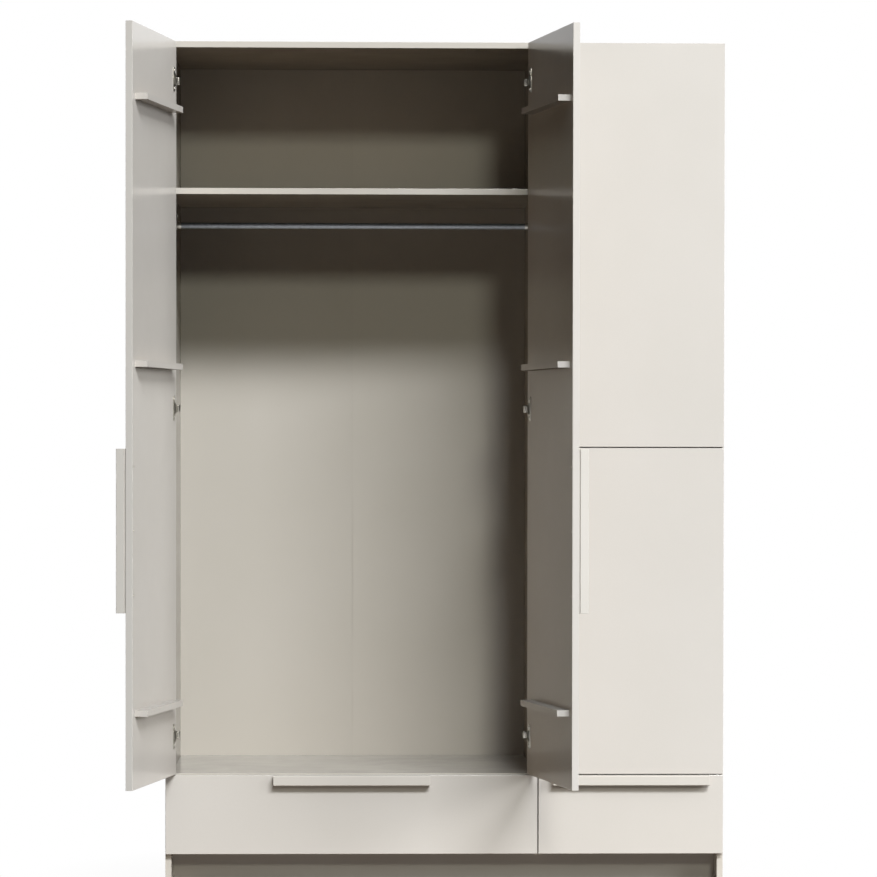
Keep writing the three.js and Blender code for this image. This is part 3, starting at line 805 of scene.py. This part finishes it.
class WARDROBE_OT_hinge_arms(bpy.types.Operator):
    """Plated arms and straps, with the arms' rivets, adjusting screws and plate screws"""

    bl_idname = "wardrobe.hinge_arms"
    bl_label = "Hinge arms and straps"

    def execute(self, context):
        hinge = context.scene.wardrobe_hinge
        for door in DOORS:
            for number, height in hinges_of(door):
                arm = f"hinge_arm_{door}_{number}"
                dress(arm, "nickel", 0.00015)
                dress(f"hinge_strap_{door}_{number}", "nickel")
                leaf = shut_leaf(door)
                to_leaf = leaf.inverted()
                corners = [to_leaf @ vert.co for vert in NODES[arm].data.vertices]
                rear_back = max(corner.y for corner in corners)
                plate_top = max(
                    corner.x for corner in corners if abs(corner.z - height) > hinge.plate_screw_pitch / 2
                )
                parts = []
                for side in (-1, 1):
                    spot = at(plate_top, hinge.plate_screw_back, height + side * hinge.plate_screw_pitch / 2)
                    outward = leaf @ spot @ quarter_turn("Y")
                    parts.append((screw(hinge.screw_radius, hinge.screw_rise), outward))
                    cheek = at(hinge.arm_pivot_in, hinge.arm_pivot_back, height + side * hinge.cheek_reach)
                    head = cylinder(hinge.rivet_radius, 0, hinge.rivet_radius / 3, 24, hinge.rivet_radius / 5)
                    parts.append((head, leaf @ cheek @ Matrix.Diagonal((1, 1, side, 1))))
                barrel = cylinder(
                    hinge.head_radius, -hinge.head_reach, hinge.head_reach, 48, hinge.head_radius / 3, 4
                )
                parts.append((barrel, leaf @ at(hinge.head_in, hinge.head_back, height)))
                parts += web_screws(hinge, leaf, corners, height, rear_back)
                add_plated(f"hinge_trim_{door}_{number}", "carcass", parts)
        return {"FINISHED"}


def web_screws(hinge, leaf, corners, height, rear_back):
    """The adjusting screw and the fixing screw on the sloping back of an arm."""
    nose = max(corner.x for corner in corners)
    rear_reach = 0.001
    rear = max(corner.x for corner in corners if corner.y > rear_back - rear_reach)
    slope = math.atan2(nose - rear, rear_back - hinge.arm_pivot_back)
    parts = []
    for back, radius in WEB_SCREWS:
        part_way = (back - hinge.arm_pivot_back) / (rear_back - hinge.arm_pivot_back)
        spot = at(nose + (rear - nose) * part_way - WEB_SCREW_SINK, back, height)
        turn = Matrix.Rotation(slope, 4, "Z") @ quarter_turn("Y")
        parts.append((screw(radius, hinge.screw_rise * 0.8), leaf @ spot @ turn))
    return parts


def drop_plate(radius, ear_radius, ear_x, thickness):
    """A drop-shaped plate that stands on z = 0: a disc drawn out to a smaller one at ear_x."""
    drop = cylinder(radius, 0, thickness, 48)
    bmesh.ops.create_cone(
        drop,
        cap_ends=True,
        segments=32,
        radius1=ear_radius,
        radius2=ear_radius,
        depth=thickness,
        matrix=at(ear_x, 0, thickness / 2),
    )
    hull = bmesh.ops.convex_hull(drop, input=drop.verts)
    inside = [item for item in hull["geom_interior"] + hull["geom_unused"] if item.is_valid]
    bmesh.ops.delete(drop, geom=[v for v in inside if isinstance(v, bmesh.types.BMVert)], context="VERTS")
    outer = [e for e in drop.edges if all(v.co.z > thickness * 0.99 for v in e.verts)]
    outer = [e for e in outer if e.calc_face_angle(0) > 0.5]
    bevel(drop, outer, thickness / 4, 2)
    return drop


class WARDROBE_OT_rail(bpy.types.Operator):
    """A round plated rail between two drop-shaped sockets"""

    bl_idname = "wardrobe.rail"
    bl_label = "Hanging rail"

    def execute(self, context):
        hinge = context.scene.wardrobe_hinge
        fittings = context.scene.wardrobe_fittings
        low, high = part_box("hanging_rail")
        plate_radius = (high.y - low.y) / 2
        middle_y = (low.y + high.y) / 2
        rail_z = low.z + plate_radius
        ear_radius = plate_radius / 2
        ear_rise = high.z - ear_radius - rail_z
        collar_radius = fittings.rail_radius + fittings.collar_wall
        thickness = fittings.socket_thickness
        collar_end = thickness + fittings.collar_length
        level = quarter_turn("Y")
        tube = cylinder(fittings.rail_radius, low.x + thickness, high.x - thickness, 64)
        parts = [(tube, at(0, middle_y, rail_z) @ level)]
        rail = add_piece("rail_tube", "carcass", finish_named("rail_steel"), parts)
        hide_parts("hanging_rail")
        for name, wall, inward in (("left", low.x, 1), ("right", high.x, -1)):
            place = at(wall, middle_y, rail_z) @ quarter_turn("Y", inward)
            ear_x = -inward * ear_rise
            parts = [
                (drop_plate(plate_radius, ear_radius, ear_x, thickness), place),
                (cylinder(collar_radius, 0, collar_end, 64, fittings.collar_edge), place),
                (screw(hinge.screw_radius, hinge.screw_rise), place @ at(ear_x, 0, thickness)),
            ]
            add_plated("rail_socket_" + name, "carcass", parts)
        return {"FINISHED"}


class WARDROBE_OT_shelf_pins(bpy.types.Operator):
    """Four pins under each loose shelf"""

    bl_idname = "wardrobe.shelf_pins"
    bl_label = "Shelf pins"

    def execute(self, context):
        fittings = context.scene.wardrobe_fittings
        left_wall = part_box("divider")[1].x
        right_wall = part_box("side_right")[0].x
        radius = fittings.pin_radius
        collar = fittings.pin_collar
        for shelf in LOOSE_SHELVES:
            low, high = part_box(shelf)
            parts = []
            for wall, turn in ((left_wall, 1), (right_wall, -1)):
                for y in (low.y + fittings.pin_inset, high.y - fittings.pin_inset):
                    place = at(wall, y, low.z - radius * 1.04) @ quarter_turn("Y", turn)
                    below = place @ at(turn * fittings.pin_collar_drop, 0, 0)
                    ring = cylinder(radius * 0.98 + collar, 0, collar, 24, fittings.pin_collar_edge)
                    parts.append((cylinder(radius, 0, fittings.pin_reach, 24, radius / 5), place))
                    parts.append((ring, below))
            add_plated(shelf + "_pins", "carcass", parts)
        return {"FINISHED"}


class WARDROBE_OT_drawers(bpy.types.Operator):
    """Drawer fronts, boxes, bottoms and strips, with handle screws and cam fittings"""

    bl_idname = "wardrobe.drawers"
    bl_label = "Drawers"

    def execute(self, context):
        finish = context.scene.wardrobe_finish
        fittings = context.scene.wardrobe_fittings
        for drawer in DRAWERS:
            dress(drawer + "_front", "front")
            for board in ("_side_left", "_side_right", "_back"):
                dress(drawer + board, "board", finish.arris)
            dress(drawer + "_bottom", "drawer_sheet")
            for strip in ("_runner_left", "_runner_right"):
                dress(drawer + strip, "plastic", finish.arris)
            self.add_handle_screws(drawer, fittings)
            self.add_cams(drawer, fittings)
        return {"FINISHED"}

    def add_handle_screws(self, drawer, fittings):
        low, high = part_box(drawer + "_handle")
        inner_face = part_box(drawer + "_front")[1].y
        middle_x, z = (low.x + high.x) / 2, (low.z + high.z) / 2
        back = quarter_turn("X", -1)
        radius = fittings.handle_screw_radius
        parts = []
        for step in (-1, 0, 1):
            spot = at(middle_x + step * fittings.handle_screw_pitch, inner_face, z)
            parts.append((screw(radius, radius / 3), spot @ back))
        add_plated(drawer + "_handle_screws", drawer, parts)

    def add_cams(self, drawer, fittings):
        parts = []
        for flank, turn in (("_side_left", 1), ("_side_right", -1)):
            low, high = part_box(drawer + flank)
            inner = high.x if turn > 0 else low.x
            for rise in (fittings.low_cam, fittings.high_cam):
                spot = at(inner, low.y + fittings.cam_inset, low.z + (high.z - low.z) * rise)
                place = spot @ quarter_turn("Y", turn)
                parts.append((screw(fittings.cam_radius, fittings.cam_radius / 12), place))
        add_plated(drawer + "_cams", drawer, parts)


# The stage


class WARDROBE_OT_stage(bpy.types.Operator):
    """A pale floor, studio lamps, a white background and the photograph's camera"""

    bl_idname = "wardrobe.stage"
    bl_label = "Stage"

    def execute(self, context):
        studio = context.scene.wardrobe_studio
        context.scene.view_settings.view_transform = "Standard"
        self.add_floor(studio)
        self.add_world(studio)
        self.add_lamps(studio)
        self.add_camera(context, studio)
        return {"FINISHED"}

    def add_floor(self, studio):
        shape = bmesh.new()
        bmesh.ops.create_circle(shape, cap_ends=True, segments=64, radius=studio.floor_reach)
        mesh = mesh_of(shape, "floor")
        below_feet = 0.0002
        mesh.transform(at(0, 0, -below_feet))
        floor = new_object("floor", mesh)
        material, tree, shader, place = new_material("studio_floor")
        shader.inputs["Base Color"].default_value = rgba(studio.floor_colour)
        shader.inputs["Roughness"].default_value = 0.9
        shader.inputs["Specular IOR Level"].default_value = 0.2
        distance = add_node(tree, "ShaderNodeVectorMath", {0: place}, operation="LENGTH").outputs["Value"]
        path = tree.nodes.new("ShaderNodeLightPath")
        fade = mapped(tree, distance, *FLOOR_FADE, *FLOOR_WHITE)
        seen = math_node(tree, "MULTIPLY", fade, path.outputs["Is Camera Ray"])
        seen = math_node(tree, "MAXIMUM", seen, path.outputs["Is Glossy Ray"])
        thrown = rgba(studio.floor_colour, studio.floor_return)
        white = add_node(tree, "ShaderNodeEmission", {"Color": (1, 1, 1, 1), "Strength": 1.0}).outputs[0]
        dull = add_node(tree, "ShaderNodeBsdfDiffuse", {"Color": thrown}).outputs[0]
        links = {0: path.outputs["Is Diffuse Ray"], 1: shader.outputs["BSDF"], 2: dull}
        lit = add_node(tree, "ShaderNodeMixShader", links).outputs[0]
        blend = add_node(tree, "ShaderNodeMixShader", {0: seen, 1: lit, 2: white}).outputs[0]
        output = next(node for node in tree.nodes if node.type == "OUTPUT_MATERIAL")
        tree.links.new(blend, output.inputs["Surface"])
        mesh.materials.append(material)

    def add_world(self, studio):
        world = bpy.data.worlds.new("studio")
        bpy.context.scene.world = world
        world.use_nodes = True
        tree = world.node_tree
        tree.nodes.clear()
        path = tree.nodes.new("ShaderNodeLightPath")
        glossy, through = path.outputs["Is Glossy Ray"], path.outputs["Is Transmission Ray"]
        mirrored = math_node(tree, "MAXIMUM", glossy, through)
        direction = tree.nodes.new("ShaderNodeTexCoord").outputs["Generated"]
        back = add_node(tree, "ShaderNodeSeparateXYZ", {0: direction}).outputs["Y"]
        backdrop = mapped(tree, back, *BACKDROP_EDGES, studio.front_gloss, 1.0)
        glint = math_node(tree, "MULTIPLY", mirrored, backdrop)
        direct = math_node(tree, "MAXIMUM", path.outputs["Is Camera Ray"], glint)
        strength = math_node(tree, "MAXIMUM", direct, studio.ambient)
        background = add_node(tree, "ShaderNodeBackground", {"Color": (1, 1, 1, 1), "Strength": strength})
        output = tree.nodes.new("ShaderNodeOutputWorld")
        tree.links.new(background.outputs[0], output.inputs["Surface"])

    def add_lamps(self, studio):
        front = [
            ("key_lamp", (19, 37), 30, (15.0, 4.2), studio.key_level, (1, 1, 1)),
            ("top_lamp", (10, 62), 30, (15.0, 9.0), studio.top_level, (1, 1, 1)),
            ("low_lamp", (8, 19.5), 30, (3.5, 2.25), studio.low_level, LOW_TINT),
        ]
        sides = [
            ("right_lamp", (60, 20), 12, (4.2, 4.2), studio.right_level, RIGHT_TINT),
            ("near_lamp", (55, 6), 5, (1.5, 1.5), studio.near_level, RIGHT_TINT),
            ("left_lamp", (-105, 0), 6, (3.0, 2.0), studio.left_level, (1, 1, 1)),
            ("back_lamp", (165, 30), 12, (4.0, 4.0), studio.back_level, (1, 1, 1)),
        ]
        for lamp in front:
            add_lamp(*lamp)
        for lamp in sides:
            add_lamp(*lamp).visible_glossy = False
        add_floor_glow(studio.glow_level)

    def add_camera(self, context, studio):
        turn, tilt, roll = studio.camera_turn
        ahead = Vector((math.sin(turn) * math.cos(tilt), math.cos(turn) * math.cos(tilt), math.sin(tilt)))
        level = Vector((math.cos(turn), -math.sin(turn), 0))
        upward = level.cross(ahead)
        right = level * math.cos(roll) + upward * math.sin(roll)
        up = upward * math.cos(roll) - level * math.sin(roll)
        lens = bpy.data.cameras.new("camera")
        lens.sensor_width = SENSOR_WIDTH
        lens.lens = studio.focal_pixels / PHOTO_PIXELS * SENSOR_WIDTH
        lens.shift_y = studio.axis_row / PHOTO_PIXELS - 0.5
        lens.clip_end = CAMERA_REACH
        camera = new_object("camera", lens)
        axes = Matrix((right, up, -ahead)).transposed().to_4x4()
        camera.matrix_world = Matrix.Translation(studio.camera_place) @ axes
        context.scene.camera = camera


def new_lamp(name, size, energy, tint, bounces):
    light = bpy.data.lights.new(name, "AREA")
    light.shape = "RECTANGLE"
    light.size, light.size_y = size
    light.energy = energy
    light.color = tint
    light.cycles.max_bounces = bounces
    return new_object(name, light)


def add_lamp(name, direction, distance, size, level, tint):
    """A soft rectangular lamp that looks at the wardrobe's middle.

    direction is its bearing from the front and its height, in degrees, and size its width and height.
    level is how bright a white surface that faces it comes out.
    """
    lamp = new_lamp(name, size, level * (math.pi * distance) ** 2, tint, bounces=1)
    around, up = (math.radians(angle) for angle in direction)
    away = Vector((math.sin(around) * math.cos(up), -math.cos(around) * math.cos(up), math.sin(up)))
    lamp.location = LAMP_AIM + away * distance
    lamp.rotation_euler = (-away).to_track_quat("-Z", "Y").to_euler()
    return lamp


def add_floor_glow(level):
    """The light that the pale floor throws back onto the lowest part of the front."""
    width, depth = GLOW_SIZE
    lamp = new_lamp("floor_glow", GLOW_SIZE, level * math.pi * width * depth, GLOW_TINT, bounces=0)
    lamp.location = GLOW_PLACE
    lamp.rotation_euler = (math.pi, 0, 0)
    lamp.visible_camera = False
    lamp.visible_glossy = False


class WARDROBE_PT_pieces(bpy.types.Panel):
    """Makes the wardrobe's pieces one by one"""

    bl_idname = "WARDROBE_PT_pieces"
    bl_label = "Wardrobe"
    bl_space_type = "VIEW_3D"
    bl_region_type = "UI"
    bl_category = "Wardrobe"

    def draw(self, context):
        for operator in OPERATORS:
            self.layout.operator(operator.bl_idname)
        for settings in SETTINGS:
            group = getattr(context.scene, settings)
            box = self.layout.box()
            for name in group.__annotations__:
                box.prop(group, name)


OPERATORS = (
    WARDROBE_OT_carcass,
    WARDROBE_OT_back,
    WARDROBE_OT_doors,
    WARDROBE_OT_handles,
    WARDROBE_OT_hinge_cups,
    WARDROBE_OT_hinge_arms,
    WARDROBE_OT_rail,
    WARDROBE_OT_shelf_pins,
    WARDROBE_OT_drawers,
    WARDROBE_OT_stage,
)
SETTINGS = {
    "wardrobe_finish": WardrobeFinish,
    "wardrobe_hinge": WardrobeHinge,
    "wardrobe_fittings": WardrobeFittings,
    "wardrobe_studio": WardrobeStudio,
}
CLASSES = (*SETTINGS.values(), *OPERATORS, WARDROBE_PT_pieces)


def register():
    for cls in CLASSES:
        bpy.utils.register_class(cls)
    for name, cls in SETTINGS.items():
        setattr(bpy.types.Scene, name, PointerProperty(type=cls))


def unregister():
    for name in SETTINGS:
        delattr(bpy.types.Scene, name)
    for cls in reversed(CLASSES):
        bpy.utils.unregister_class(cls)


def main():
    register()
    for operator in OPERATORS:
        group, name = operator.bl_idname.split(".")
        getattr(getattr(bpy.ops, group), name)()


if __name__ == "__main__":
    main()
